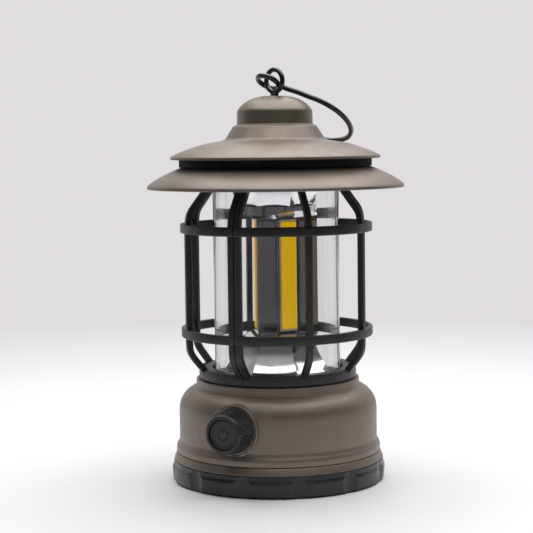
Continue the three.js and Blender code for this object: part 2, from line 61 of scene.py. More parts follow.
def blended(outline, steps=5):
    """The outline with each [radius, height, reach] corner rounded, starting reach before the corner."""
    result = []
    count = len(outline)
    for i, point in enumerate(outline):
        corner = Vector(point[:2])
        reach = point[2] if len(point) > 2 else 0
        if not reach:
            result.append(corner)
            continue
        ends = []
        for near in (Vector(outline[i - 1][:2]), Vector(outline[(i + 1) % count][:2])):
            side = near - corner
            ends.append(corner + side.normalized() * min(reach, side.length * 0.49))
        for k in range(steps + 1):
            t = k / steps
            result.append(ends[0] * (1 - t) ** 2 + corner * (2 * t * (1 - t)) + ends[1] * t ** 2)
    return [tuple(p) for p in result]


def flowing(points, steps=6):
    """A smooth centripetal curve through points, of any dimension."""
    nodes = [Vector(p) for p in points]
    nodes = [nodes[0] * 2 - nodes[1], *nodes, nodes[-1] * 2 - nodes[-2]]
    curve = []
    for i in range(1, len(nodes) - 2):
        p = nodes[i - 1:i + 3]
        t = [0.0]
        for a, b in zip(p, p[1:]):
            t.append(t[-1] + max((b - a).length, 1e-6) ** 0.5)
        for k in range(steps):
            at = t[1] + (t[2] - t[1]) * k / steps
            level = list(p)
            for depth in (1, 2, 3):
                shift = 0 if depth < 3 else 1
                span = depth if depth < 3 else 1
                level = [
                    level[j] * ((t[j + shift + span] - at) / (t[j + shift + span] - t[j + shift]))
                    + level[j + 1] * ((at - t[j + shift]) / (t[j + shift + span] - t[j + shift]))
                    for j in range(len(level) - 1)
                ]
            curve.append(level[0])
    curve.append(nodes[-2])
    return [tuple(p) for p in curve]


def arc(centre, radius, start, end, count):
    """Points on an arc in a plane, angles in degrees."""
    points = []
    for i in range(count + 1):
        angle = math.radians(start + (end - start) * i / count)
        points.append((centre[0] + radius * math.cos(angle), centre[1] + radius * math.sin(angle)))
    return points


# ---------------------------------------------------------------- meshes


def mesh_object(name, points, faces, sharp=SHARP):
    """A closed mesh from points in millimetres, faces outward, smooth below the sharp angle."""
    mesh = bpy.data.meshes.new(name)
    mesh.from_pydata([Vector(p) * MM for p in points], [], faces)
    work = bmesh.new()
    work.from_mesh(mesh)
    bmesh.ops.recalc_face_normals(work, faces=work.faces)
    work.to_mesh(mesh)
    work.free()
    obj = bpy.data.objects.new(name, mesh)
    bpy.context.scene.collection.objects.link(obj)
    shade(obj, sharp)
    return obj


def shade(obj, sharp):
    """Smooth shading, with an edge kept where faces meet at more than an angle."""
    obj.data.polygons.foreach_set("use_smooth", [True] * len(obj.data.polygons))
    obj.data.set_sharp_from_angle(angle=math.radians(sharp))


def turned(name, outline, segments, reshape=None, sharp=SHARP, first=0.0):
    """A closed [radius, height] outline turned about +Z. reshape may change a radius by its azimuth."""
    points, rows = [], []
    for radius, height in outline:
        if radius < 1e-6:
            rows.append([len(points)] * segments)
            points.append((0, 0, height))
            continue
        rows.append(range(len(points), len(points) + segments))
        for i in range(segments):
            azimuth = first + 2 * math.pi * i / segments
            r = reshape(radius, height, azimuth) if reshape else radius
            points.append((r * math.sin(azimuth), -r * math.cos(azimuth), height))
    faces = []
    for low, high in zip(rows, [*rows[1:], rows[0]]):
        for i in range(segments):
            k = (i + 1) % segments
            face = list(dict.fromkeys((low[i], low[k], high[k], high[i])))
            if len(face) > 2:
                faces.append(face)
    return mesh_object(name, points, faces, sharp)


def creased(obj):
    """Keeps the upright edges of a many-sided turned piece sharp."""
    mesh = obj.data
    for edge in mesh.edges:
        a, b = (mesh.vertices[i].co for i in edge.vertices)
        turn = a.xy.angle_signed(b.xy, 0) if a.xy.length and b.xy.length else 1
        if abs(turn) < 1e-3:
            edge.use_edge_sharp = True
    return obj


def turned_part(name, outline, start, end, segments):
    """A closed outline turned through part of a turn, with flat ends."""
    points, faces = [], []
    count = len(outline)
    for i in range(segments + 1):
        azimuth = math.radians(start + (end - start) * i / segments)
        points += [(r * math.sin(azimuth), -r * math.cos(azimuth), z) for r, z in outline]
    for i in range(segments):
        for j in range(count):
            k = (j + 1) % count
            faces.append((i * count + j, i * count + k, (i + 1) * count + k, (i + 1) * count + j))
    faces.append(tuple(range(count)))
    faces.append(tuple(range(segments * count, (segments + 1) * count)))
    return mesh_object(name, points, faces)


def directions(path, closed):
    """The direction of a path at each of its points."""
    count = len(path)
    if closed:
        return [(path[(i + 1) % count] - path[i - 1]).normalized() for i in range(count)]
    return [(path[min(i + 1, count - 1)] - path[max(i - 1, 0)]).normalized() for i in range(count)]


def domed(ring, way):
    """Shrinking rings beyond a wire's end, the outermost first."""
    centre, tangent, across, radius = ring
    rings = []
    for degrees in (85, 60, 35, 12):
        angle = math.radians(degrees)
        reach = way * radius * WIRE_END * math.sin(angle)
        rings.append((centre + tangent * reach, tangent, across, radius * math.cos(angle)))
    return rings


def swept(name, path, radius, sides=20, closed=False):
    """A round wire along a path, with domed ends unless it closes on itself."""
    path = [Vector(p) for p in path]
    tangents = directions(path, closed)
    normal = tangents[0].orthogonal().normalized()
    rings = []
    for i, tangent in enumerate(tangents):
        if i:
            normal.rotate(tangents[i - 1].rotation_difference(tangent))
        rings.append((path[i], tangent, normal.copy(), radius))
    if not closed:
        rings = [*domed(rings[0], -1), *rings, *reversed(domed(rings[-1], 1))]
    points = []
    for centre, tangent, across, size in rings:
        other = tangent.cross(across)
        for k in range(sides):
            angle = 2 * math.pi * k / sides
            points.append(centre + (across * math.cos(angle) + other * math.sin(angle)) * size)
    faces = []
    spans = len(rings) if closed else len(rings) - 1
    for i in range(spans):
        low, high = i * sides, (i + 1) % len(rings) * sides
        for k in range(sides):
            n = (k + 1) % sides
            faces.append((low + k, low + n, high + n, high + k))
    if not closed:
        faces.append(tuple(range(sides)))
        faces.append(tuple(range((len(rings) - 1) * sides, len(rings) * sides)))
    return mesh_object(name, points, faces)


def hull(name, points):
    """The convex solid round points."""
    work = bmesh.new()
    for p in points:
        work.verts.new(Vector(p) * MM)
    bmesh.ops.convex_hull(work, input=work.verts)
    bmesh.ops.dissolve_limit(work, angle_limit=math.radians(1), verts=work.verts, edges=work.edges)
    mesh = bpy.data.meshes.new(name)
    work.to_mesh(mesh)
    work.free()
    obj = bpy.data.objects.new(name, mesh)
    bpy.context.scene.collection.objects.link(obj)
    return obj


def baked(obj):
    """The object with its modifiers made part of its mesh."""
    depsgraph = bpy.context.evaluated_depsgraph_get()
    obj.data = bpy.data.meshes.new_from_object(obj.evaluated_get(depsgraph))
    obj.modifiers.clear()
    return obj


def applied(obj):
    """The object baked, with its hard edges found afresh."""
    shade(baked(obj), SHARP)
    return obj


def combined(obj, others, operation):
    """The object joined with others, or cut by them. The others are used up."""
    for other in others:
        step = obj.modifiers.new(operation.lower(), "BOOLEAN")
        step.operation = operation
        step.solver = "EXACT"
        step.object = other
    applied(obj)
    for other in others:
        bpy.data.objects.remove(other)
    return obj


def softened(obj, width):
    """The object with its sharp edges rounded over a small width."""
    bevel = obj.modifiers.new("bevel", "BEVEL")
    bevel.width = width * MM
    bevel.segments = 2
    bevel.limit_method = "ANGLE"
    bevel.angle_limit = math.radians(40)
    return evened(applied(obj))


def evened(obj):
    """Shading that keeps large faces flat beside their rounded edges."""
    even = obj.modifiers.new("even", "WEIGHTED_NORMAL")
    even.keep_sharp = True
    return baked(obj)


def along_knob(obj):
    """A piece made about +Z, laid along the knob's axis."""
    obj.data.transform(Matrix.Translation((0, 0, KNOB_AXIS * MM)) @ Matrix.Rotation(math.pi / 2, 4, "X"))
    return obj


def azimuth_turn(obj, azimuth):
    """A piece made at azimuth 0, turned about +Z to an azimuth in degrees."""
    obj.data.transform(Matrix.Rotation(math.radians(azimuth), 4, "Z"))
    return obj


def install(obj, material, body, slot, *nodes):
    """Gives a piece its material and its body, and hides the CAD nodes that it stands for. The slot is not
    used.
    """
    obj.data.materials.clear()
    obj.data.materials.append(material)
    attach(obj, body)
    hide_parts(*nodes)


# ---------------------------------------------------------------- materials


def arithmetic(tree, operation, first, second):
    """A sum or comparison of two values, each a number or a socket."""
    node = tree.nodes.new("ShaderNodeMath")
    node.operation = operation
    for socket, value in zip(node.inputs, (first, second)):
        if isinstance(value, (int, float)):
            socket.default_value = value
        else:
            tree.links.new(value, socket)
    return node.outputs[0]


def ranged(tree, value, limits, results, shape="LINEAR"):
    """A value carried from the range limits to the range results."""
    node = tree.nodes.new("ShaderNodeMapRange")
    node.interpolation_type = shape
    for key, number in zip(("From Min", "From Max", "To Min", "To Max"), (*limits, *results)):
        node.inputs[key].default_value = number
    tree.links.new(value, node.inputs["Value"])
    return node.outputs["Result"]


def mixed(tree, factor, first, second, output):
    """Two shaders blended by a factor into an output."""
    blend = tree.nodes.new("ShaderNodeMixShader")
    for socket, value in zip(blend.inputs, (factor, first, second)):
        tree.links.new(value, socket)
    tree.links.new(blend.outputs[0], output.inputs["Surface"])


class Finish:
    """A node material with one Principled shader, built up by small steps."""

    def __init__(self, name, **values):
        self.material = bpy.data.materials.new(name)
        self.material.use_nodes = True
        self.tree = self.material.node_tree
        self.nodes = self.tree.nodes
        self.links = self.tree.links
        self.shader = self.nodes["Principled BSDF"]
        self.place = self.nodes.new("ShaderNodeTexCoord").outputs["Object"]
        for key, value in values.items():
            self.shader.inputs[key.replace("_", " ")].default_value = value

    def noise(self, scale, detail=3.0, stretch=None):
        """Noise in object space, scale in features per metre, stretched along an axis if asked."""
        texture = self.nodes.new("ShaderNodeTexNoise")
        texture.inputs["Scale"].default_value = scale
        texture.inputs["Detail"].default_value = detail
        place = self.place
        if stretch:
            mapping = self.nodes.new("ShaderNodeMapping")
            mapping.inputs["Scale"].default_value = stretch
            self.links.new(place, mapping.inputs["Vector"])
            place = mapping.outputs["Vector"]
        self.links.new(place, texture.inputs["Vector"])
        return texture.outputs["Fac"]

    def spread(self, value, low, high, start=0.35, end=0.65):
        """A value carried from the range start to end, to the range low to high."""
        return ranged(self.tree, value, (start, end), (low, high))

    def mix(self, factor, first, second):
        """A colour between two, each an RGB triple or a socket."""
        node = self.nodes.new("ShaderNodeMix")
        node.data_type = "RGBA"
        self.links.new(factor, node.inputs["Factor"])
        for socket, colour in ((node.inputs[6], first), (node.inputs[7], second)):
            if isinstance(colour, tuple):
                socket.default_value = (*colour, 1)
            else:
                self.links.new(colour, socket)
        return node.outputs[2]

    def colour(self, socket):
        self.links.new(socket, self.shader.inputs["Base Color"])
        return self

    def roughness(self, socket):
        self.links.new(socket, self.shader.inputs["Roughness"])
        return self

    def edges(self):
        """1 along convex edges, 0 elsewhere: the mask for a painted edge highlight."""
        point = self.nodes.new("ShaderNodeNewGeometry").outputs["Pointiness"]
        return self.spread(point, 0, 1, 0.52, 0.6)

    def bump(self, height, depth):
        """Relief of a depth in millimetres. Calls add up."""
        node = self.nodes.new("ShaderNodeBump")
        node.inputs["Distance"].default_value = depth * MM
        node.inputs["Strength"].default_value = 1
        self.links.new(height, node.inputs["Height"])
        normal = self.shader.inputs["Normal"]
        if normal.is_linked:
            self.links.new(normal.links[0].from_socket, node.inputs["Normal"])
        self.links.new(node.outputs["Normal"], normal)
        return self


def taupe_paint():
    """Satin paint with fine metallic flake, slight orange peel and a touch of dust, and a painted highlight
    that lightens its convex edges.
    """
    paint = Finish("taupe_paint", Metallic=0.6, Specular_IOR_Level=0.5)
    cloud = paint.noise(38, 4)
    flake = paint.noise(5200, 1)
    tone = paint.mix(paint.spread(cloud, 0, 1), (0.205, 0.171, 0.144), (0.236, 0.198, 0.168))
    tone = paint.mix(paint.spread(flake, 0, 0.35, 0.5, 0.75), tone, (0.34, 0.295, 0.25))
    # Painted highlight: convex edges are mixed towards a lighter taupe.
    paint.colour(paint.mix(paint.spread(paint.edges(), 0, 0.35, 0, 1), tone, (0.34, 0.3, 0.25)))
    paint.roughness(paint.spread(paint.noise(160, 5), 0.4, 0.49))
    return paint.bump(paint.noise(900, 2), 0.012).bump(flake, 0.004).material


def black_plastic(name="black_plastic", base=0.014, rough=0.42):
    """Moulded black plastic with a fine spark-eroded grain and a slight bloom, and a painted highlight that
    lightens its convex edges.
    """
    plastic = Finish(name, Specular_IOR_Level=0.5)
    cloud = plastic.noise(60, 5)
    deep, pale = (base, base, base * 1.12), (base * 1.7, base * 1.65, base * 1.8)
    tone = plastic.mix(plastic.spread(cloud, 0, 1), deep, pale)
    # Painted highlight: convex edges are mixed towards a lighter grey.
    plastic.colour(plastic.mix(plastic.spread(plastic.edges(), 0, 0.4, 0, 1), tone, (0.07, 0.068, 0.072)))
    plastic.roughness(plastic.spread(plastic.noise(240, 4), rough - 0.05, rough + 0.08))
    return plastic.bump(plastic.noise(3200, 2), 0.02).material


def rubber():
    """Matt rubber with a powdery surface."""
    pad = Finish("black_rubber", Specular_IOR_Level=0.3)
    pad.colour(pad.mix(pad.spread(pad.noise(500, 4), 0, 1), (0.012, 0.012, 0.012), (0.03, 0.03, 0.029)))
    pad.roughness(pad.spread(pad.noise(900, 3), 0.75, 0.95))
    return pad.bump(pad.noise(2500, 2), 0.03).material


def black_wire():
    """Glossy black coated steel wire with drips and small scuffs along it."""
    coat = Finish("black_wire", Specular_IOR_Level=0.6, Coat_Weight=0.5, Coat_Roughness=0.12)
    scuff = coat.spread(coat.noise(420, 6), 0, 1, 0.6, 0.72)
    coat.colour(coat.mix(scuff, (0.008, 0.008, 0.008), (0.035, 0.033, 0.031)))
    coat.roughness(coat.spread(coat.noise(300, 4), 0.16, 0.34))
    return coat.bump(coat.noise(260, 3), 0.05).material


def clear_plastic():
    """Clear moulded plastic. Light passes straight through it to the pieces inside."""
    clear = Finish("clear_plastic", Transmission_Weight=1.0, IOR=1.49, Base_Color=(0.985, 0.99, 0.99, 1))
    clear.roughness(clear.spread(clear.noise(120, 4), 0.0, 0.025))
    clear.bump(clear.noise(26, 2, (1, 1, 0.25)), 0.03)
    ray = clear.nodes.new("ShaderNodeLightPath").outputs["Is Shadow Ray"]
    through = clear.nodes.new("ShaderNodeBsdfTransparent")
    through.inputs["Color"].default_value = (0.93, 0.94, 0.94, 1)
    output = clear.nodes["Material Output"]
    mixed(clear.tree, ray, clear.shader.outputs[0], through.outputs[0], output)
    return clear.material


def mirror_plastic():
    """Vacuum metallised plastic: a mirror with faint waves and a haze of dust."""
    mirror = Finish("mirror_plastic", Metallic=1.0)
    dust = mirror.spread(mirror.noise(900, 6), 0, 1, 0.62, 0.8)
    mirror.colour(mirror.mix(dust, (0.82, 0.82, 0.84), (0.7, 0.69, 0.68)))
    mirror.roughness(mirror.spread(mirror.noise(90, 4), 0.03, 0.09))
    return mirror.bump(mirror.noise(70, 2), 0.025).material


def led_phosphor():
    """Yellow silicone phosphor with a glossy skin. A faint glow is painted light: the strip is not lit."""
    # Painted light: the emission makes the strip glow, though it is no lamp.
    gel = Finish(
        "led_phosphor", Specular_IOR_Level=0.12, Coat_Weight=1.0, Coat_Roughness=0.2,
        Emission_Color=(1.0, 0.56, 0.0, 1), Emission_Strength=0.4,
    )
    gel.colour(gel.mix(gel.spread(gel.noise(700, 4), 0, 1), (0.85, 0.55, 0.0), (0.92, 0.62, 0.002)))
    gel.roughness(gel.spread(gel.noise(300, 3), 0.4, 0.55))
    return gel.bump(gel.noise(1500, 2), 0.02).material


def led_board():
    """White solder mask with a faint print grain."""
    board = Finish("led_board", Specular_IOR_Level=0.5)
    board.colour(board.mix(board.spread(board.noise(400, 4), 0, 1), (0.72, 0.72, 0.7), (0.82, 0.82, 0.8)))
    board.roughness(board.spread(board.noise(500, 3), 0.25, 0.4))
    return board.bump(board.noise(2000, 2), 0.01).material


def circuit_board():
    """Green solder mask with darker traces under it."""
    board = Finish("circuit_board", Specular_IOR_Level=0.5)
    traces = board.spread(board.noise(260, 0, (1, 0.2, 1)), 0, 1, 0.47, 0.53)
    board.colour(board.mix(traces, (0.012, 0.1, 0.03), (0.03, 0.2, 0.07)))
    board.roughness(board.spread(board.noise(300, 3), 0.25, 0.4))
    return board.bump(traces, 0.03).material


def zinc_steel():
    """Zinc plated steel with a faint grain."""
    steel = Finish("steel", Metallic=1.0)
    cloud = steel.noise(450, 5)
    steel.colour(steel.mix(steel.spread(cloud, 0, 1), (0.5, 0.5, 0.51), (0.68, 0.68, 0.66)))
    steel.roughness(steel.spread(steel.noise(1200, 4), 0.22, 0.42))
    return steel.bump(steel.noise(2600, 3), 0.01).material


def cell_wrap():
    """A cell's glossy printed sleeve: dark blue with a bare metal band at the raised end."""
    wrap = Finish("cell_wrap", Specular_IOR_Level=0.5, Coat_Weight=0.4, Coat_Roughness=0.15)
    split = wrap.nodes.new("ShaderNodeSeparateXYZ")
    wrap.links.new(wrap.place, split.inputs[0])
    band = wrap.spread(split.outputs["X"], 0, 1, 0.008, 0.0085)
    tone = wrap.mix(wrap.spread(wrap.noise(200, 4), 0, 1), (0.03, 0.06, 0.11), (0.045, 0.085, 0.15))
    wrap.colour(wrap.mix(band, tone, (0.42, 0.3, 0.14)))
    wrap.roughness(wrap.spread(wrap.noise(350, 4), 0.25, 0.4))
    return wrap.bump(wrap.noise(700, 3), 0.01).material


PAINT = taupe_paint()
BLACK = black_plastic()
KNOB_BLACK = black_plastic("knob_plastic", 0.012, 0.36)
FOOT_BLACK = black_plastic("foot_plastic", 0.014, 0.28)
# Near-black, very rough plastic for the hood spacer: painted shade for the gap between the hoods.
SPACER_SHADE_BLACK = black_plastic("spacer_shade_plastic", 0.004, 0.8)
RUBBER = rubber()
WIRE = black_wire()
CLEAR = clear_plastic()
MIRROR = mirror_plastic()
PHOSPHOR = led_phosphor()
BOARD_WHITE = led_board()
BOARD_GREEN = circuit_board()
STEEL = zinc_steel()
CELL = cell_wrap()

KEPT_FINISH = {
    "foot_pad": RUBBER, "deck_screw": STEEL, "battery_tray": BLACK, "battery_cell": CELL,
    "contact_spring": STEEL, "contact_plate": STEEL, "driver_board": BOARD_GREEN, "board_screw": STEEL,
    "dimmer_body": STEEL, "dimmer_nut": STEEL, "dimmer_shaft": STEEL, "crown_screw": STEEL,
    "hood_screw": STEEL, "light_lead": RUBBER, "eye_washer": STEEL, "eye_nut": STEEL,
}


def finish_kept_nodes():
    """Gives the CAD pieces that stay in view their materials."""
    for name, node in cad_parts.items():
        for stem, material in KEPT_FINISH.items():
            if name.rstrip("_0123456789") == stem:
                node.data.materials.clear()
                node.data.materials.append(material)


# ---------------------------------------------------------------- foot and base casing


def foot():
    """The twist-off foot: twelve finger scallops run up its side into the bevel."""
    scallops, depth, cutter, first = 12, 1.1, 15.5, 6
    outer, inside, softness = 54.3, 50, 0.05
    reach = outer - depth + cutter
    outline = blended([
        (0, 0.4), (53, 0.4, 0.6), (53.95, 1.2, 0.6), (outer, 5.4, 0.5), (outer, 7.5, 0.4), (53.6, 8.6, 0.4),
        (53.5, 10.8, 0.25), (48, 10.8), (48, 17.5), (46, 17.5), (46, 3.4), (0, 3.4),
    ])

    def scalloped(radius, height, azimuth):
        if radius < inside:
            return radius
        pitch = 2 * math.pi / scallops
        off = (azimuth - math.radians(first) + pitch / 2) % pitch - pitch / 2
        side = reach * math.sin(off)
        if abs(side) >= cutter:
            return radius
        hollow = reach * math.cos(off) - math.sqrt(cutter ** 2 - side ** 2)
        gap = radius - hollow
        return radius - (gap + math.sqrt(gap ** 2 + softness ** 2)) / 2

    piece = turned("foot_shell", outline, 720, scalloped)
    install(piece, FOOT_BLACK, "foot", "black_plastic", "foot_cover")


def flange():
    """The taupe ring that the foot closes against."""
    outline = blended([
        (48.4, 11.1), (53.4, 11.1, 0.3), (53.2, 11.9, 0.5), (52.4, 13.7, 0.8), (51.8, 14.8, 0.4),
        (48.4, 14.8),
    ])
    install(turned("flange_ring", outline, FINE), PAINT, "lantern", "taupe_paint", "base_flange")


def housing():
    """The round base casing with its lower bead, its shoulder, the step ring and the knob's boss."""
    shoulder = flowing([(50.45, 36), (50.05, 39.4), (48.9, 42.3), (46.6, 45.3), (43.6, 47.4)], 5)
    outline = blended([
        (48.4, 15.1), (52, 15.1, 0.5), (52, 18.2, 0.9), (50.95, 20, 0.5), (50.45, 21.3, 0.5),
        *shoulder, (42, 47.9, 0.4), (41.45, 48.2, 0.3), (41.45, 52, 0.5), (5, 52), (5, 49.6), (39.4, 49.6),
        (39.4, 47), (43.7, 45.2), (46.9, 41.4), (48.4, 36.4),
    ])
    shell = turned("housing_shell", outline, FINE)
    boss = along_knob(turned("boss", blended([
        (0, 45.6), (13, 45.6), (13, 50.9, 0.55), (12, 50.9, 0.2), (11.7, 50.6, 0.2), (0, 50.6),
    ]), SMOOTH))
    bore = along_knob(turned("bore", [(0, 40), (3.9, 40), (3.9, 60), (0, 60)], 48))
    combined(shell, [boss], "UNION")
    combined(shell, [bore], "DIFFERENCE")
    install(shell, PAINT, "lantern", "taupe_paint", "base_housing")


# ---------------------------------------------------------------- knob


def knob():
    """The dimmer knob: a diamond knurled side, a plain rear rim and a raised lip round the cap."""
    around, rows, depth = 34, 4.5, 0.7
    low, high, root, tip, steps = 52.2, 61, 10.9, 9.75, 66
    side = [(root - (root - tip) * k / steps, low + (high - low) * k / steps) for k in range(steps + 1)]
    outline = blended([
        (0, 59.8), (2.3, 59.8), (2.3, 56.5), (7.6, 56.5), (7.6, 51.3), (root, 51.3, 0.25), (root, 52.1),
        *side, (9.5, 61.5, 0.3), (8.9, 62.3, 0.35), (7.5, 62.3, 0.25), (7.5, 60.1), (0, 60.1),
    ])

    def knurled(radius, height, azimuth):
        if radius < tip - 0.25 or not low <= height <= high:
            return radius
        turn = around * azimuth / (2 * math.pi)
        lift = rows * (height - low) / (high - low)
        waves = [1 - abs(2 * ((turn + sign * lift) % 1) - 1) for sign in (0.5, -0.5)]
        return radius - depth * (1 - min(1, 1.35 * min(waves)))

    body = along_knob(turned("knob_body", outline, around * 14, knurled, 60))
    install(body, KNOB_BLACK, "knob", "black_plastic", "control_knob")


def knob_face():
    """The knob's cap, with a raised ring and an engraved power symbol."""
    face = 61.45
    cap = turned("knob_face", blended([
        (0, 60.4), (7.2, 60.4), (7.2, 61.5, 0.3), (6.4, 61.6, 0.2), (6.1, face, 0.1), (0, face),
    ]), SMOOTH)
    line = 0.36
    circle = [(x, y, face) for x, y in arc((0, 0), 2.6, 130, 410, 40)]
    stroke = [(0, 1, face), (0, 2.3, face), (0, 3.6, face)]
    combined(cap, [swept("arc_cut", circle, line, 12), swept("bar_cut", stroke, line, 12)], "DIFFERENCE")
    install(along_knob(cap), KNOB_BLACK, "knob", "black_plastic", "knob_cap")


# ---------------------------------------------------------------- cage


def bar(name, width, offset, azimuth):
    """A cage bar of rounded section that follows the outer face's line, offset sideways in its plane."""
    depth, corner = 3.2, 0.65
    line = blended([
        (39.4, 55), (41.4, 57.6, 1), (46.2, 63.4, 2.6), (48, 67, 2.4), (48.25, 70.5, 1.5),
        (48.25, 129.5, 2.5), (47.5, 135.6, 2.6), (46, 138.7, 1.6), (43.4, 142, 1), (38.2, 148.9),
    ], 6)
    section = block(0, depth, -width / 2, width / 2, corner, 3)
    points, faces = [], []
    count = len(section)
    for i, (r, z) in enumerate(line):
        before, after = Vector(line[max(i - 1, 0)]), Vector(line[min(i + 1, len(line) - 1)])
        along = (after - before).normalized()
        points += [(offset + u, -(r - v * along.y), z + v * along.x) for u, v in section]
    for i in range(len(line) - 1):
        for j in range(count):
            k = (j + 1) % count
            faces.append((i * count + j, i * count + k, (i + 1) * count + k, (i + 1) * count + j))
    faces.append(tuple(range(count)))
    faces.append(tuple(range((len(line) - 1) * count, len(line) * count)))
    return azimuth_turn(mesh_object(name, points, faces), azimuth)


def block(low, high, left, right, reach, steps=4):
    """A rounded rectangular section."""
    corners = [(left, low), (right, low), (right, high), (left, high)]
    return blended([(*corner, reach) for corner in corners], steps)


def cage_half(name, side, node):
    """One moulded half of the cage. Its two outer bars meet the other half's at the seam, and its rings
    and hoops stop an inset, in degrees, short of it."""
    width, seam, inset = 3.2, 0.3, 0.26
    offset = (width + seam) / 2
    bars = [
        bar("bar_front", width, side * offset, 0), bar("bar_rear", width, -side * offset, 180),
        *[bar(f"bar_{turn}", width, 0, side * turn) for turn in (45, 90, 135)],
    ]
    sections = [
        block(52.3, 57.8, 33.2, 40, 0.7), block(147.6, 152, 33.2, 38.6, 0.5),
        block(73.6, 78.2, 46, 48.7, 0.7), block(126.3, 130.9, 46, 48.7, 0.7),
    ]
    start, end = side * inset, side * (180 - inset)
    rings = [turned_part(f"ring_{i}", section, start, end, 96) for i, section in enumerate(sections)]
    half = rings.pop(0)
    half.name = name
    combined(half, [*rings, *bars], "UNION")
    install(half, BLACK, "lantern", "black_plastic", node)


# ---------------------------------------------------------------- globe and light column


def globe():
    """The clear tube, with rounded ends."""
    piece = turned("globe_tube", block(52.4, 152, 30.2, 32, 0.5), 192)
    install(piece, CLEAR, "lantern", "clear_plastic", "globe")


def lower_flare():
    """The eight-sided mirror skirt below the column."""
    outer = flowing([(29.6, 55.4), (28.4, 57), (25.1, 62.2), (22.8, 66.2), (21.5, 69.4), (21, 72)], 4)
    inner = flowing([(19.4, 72.2), (20, 69), (21.2, 65.6), (23.4, 61.6), (26.6, 56.4), (27.8, 54)], 3)
    outline = [(29.6, 52.6), *outer, (21, 73.7), (15, 73.7), (15, 72.2), *inner, (27.8, 52.6)]
    piece = creased(turned("lower_flare", outline, 8))
    install(piece, MIRROR, "lantern", "mirror_plastic", "lower_reflector")


def upper_flare():
    """The eight-sided mirror above the column, which flares out under the crown."""
    outer = flowing([(20.8, 139.3), (21.6, 142.2), (23.2, 146.2), (25.6, 149.6), (29.6, 151.8)], 4)
    inner = flowing([(27.6, 151.8), (24.2, 150), (21.8, 147), (19.6, 140.9)], 3)
    outline = [(6, 139.3), *outer, *inner, (6, 140.9)]
    piece = creased(turned("upper_flare", outline, 8))
    install(piece, MIRROR, "lantern", "mirror_plastic", "upper_reflector")


RIB_AZIMUTH = 0.5
STRIP_AZIMUTHS = [RIB_AZIMUTH + turn for turn in (60, 180, 300)]
POCKET_FACE = 9.4                   # distance of a pocket's flat back from the lantern's axis
POCKET_LOW, POCKET_HIGH = 76.4, 132.3


def pocket(azimuth):
    """The shallow V with sloping ends in front of a light strip."""
    half, wide, reach, lift, slope = 6, 30, 30, 2.86, 0.38
    points = []
    for distance, width in ((POCKET_FACE, half), (POCKET_FACE + lift, wide), (reach, wide)):
        rise = (distance - POCKET_FACE) * slope
        ends = (POCKET_LOW - rise, POCKET_HIGH + rise)
        points += [(side * width, -distance, z) for side in (-1, 1) for z in ends]
    return azimuth_turn(hull("pocket", points), azimuth)


def column():
    """The three-sided mirror column: a round bar with a pocket for each strip, hollow inside."""
    radius, low, high, wall = 21, 74, 139, 1.8
    piece = turned("mirror_column", [(0, low), (radius, low), (radius, high), (0, high)], FINE)
    corner = 2 * (POCKET_FACE - wall)
    inside = [(0, low - 1), (corner, low - 1), (corner, high + 1), (0, high + 1)]
    room = turned("room", inside, 3, first=math.radians(RIB_AZIMUTH))
    combined(piece, [room, *[pocket(azimuth) for azimuth in STRIP_AZIMUTHS]], "DIFFERENCE")
    softened(piece, 0.3)
    install(piece, MIRROR, "lantern", "mirror_plastic", "reflector_column")


def slab(name, width, thickness, length, front, reach, azimuth):
    """A flat plate with rounded corners, standing in front of a pocket's face."""
    middle = (POCKET_LOW + POCKET_HIGH) / 2
    half, tall = width / 2, length / 2
    outline = block(-tall, tall, -half, half, reach, 5)
    count = len(outline)
    near, far = POCKET_FACE + front, POCKET_FACE + front + thickness
    points = [(x, -y, middle + z) for y in (near, far) for x, z in outline]
    faces = [(j, (j + 1) % count, count + (j + 1) % count, count + j) for j in range(count)]
    faces += [tuple(range(count)), tuple(range(count, 2 * count))]
    return azimuth_turn(softened(mesh_object(name, points, faces), 0.12), azimuth)


def strips():
    """The light strips on their boards."""
    for i, azimuth in enumerate(STRIP_AZIMUTHS, 1):
        board = slab(f"strip_board_{i}", 10.4, 0.8, 54.6, 0.3, 0.5, azimuth)
        install(board, BOARD_WHITE, "lantern", "led_board", f"led_board_{i}")
        strip = slab(f"strip_gel_{i}", 8.9, 0.5, 52.4, 1.4, 0.9, azimuth)
        install(strip, PHOSPHOR, "lantern", "led_phosphor", f"led_strip_{i}")


# ---------------------------------------------------------------- hoods and hanger


def crown():
    """The plate on top of the cage, with its hub."""
    outline = blended([
        (4, 152.3), (38.4, 152.3, 0.4), (38.4, 155, 0.4), (14, 155, 0.6), (12, 157, 0.6), (12, 161.5),
        (4, 161.5),
    ])
    install(turned("crown_plate", outline, SMOOTH), BLACK, "lantern", "black_plastic", "top_plate")


def wide_hood():
    """The wide lower hood, a shallow dish with a rolled rim."""
    top = flowing([
        (64.2, 150.6), (61.9, 152.35), (58.5, 154.3), (54.4, 156.3), (49.6, 158.4), (44.1, 160.35),
        (38, 162), (30, 163.4),
    ], 4)
    under = flowing([(30, 161.8), (39.8, 159.9), (48.8, 156.9), (57.5, 152.8), (62.9, 149.4)], 4)
    outline = blended([
        (63.4, 148.4, 0.3), (65, 148.4, 0.4), (65, 149.6, 0.5), *top, (4, 163.4), (4, 161.8), *under,
    ])
    install(turned("hood_wide", outline, FINE), PAINT, "lantern", "taupe_paint", "lower_hood")


def spacer():
    """The dark ring between the hoods. Its near-black, very rough finish is painted shade for the gap
    between them.
    """
    outline = blended([(42.3, 161.4), (48.8, 159.2, 0.3), (48.8, 164.3, 0.3), (42.3, 166.6)])
    install(turned("hood_ring", outline, FINE), SPACER_SHADE_BLACK, "lantern", "black_plastic", "hood_spacer")


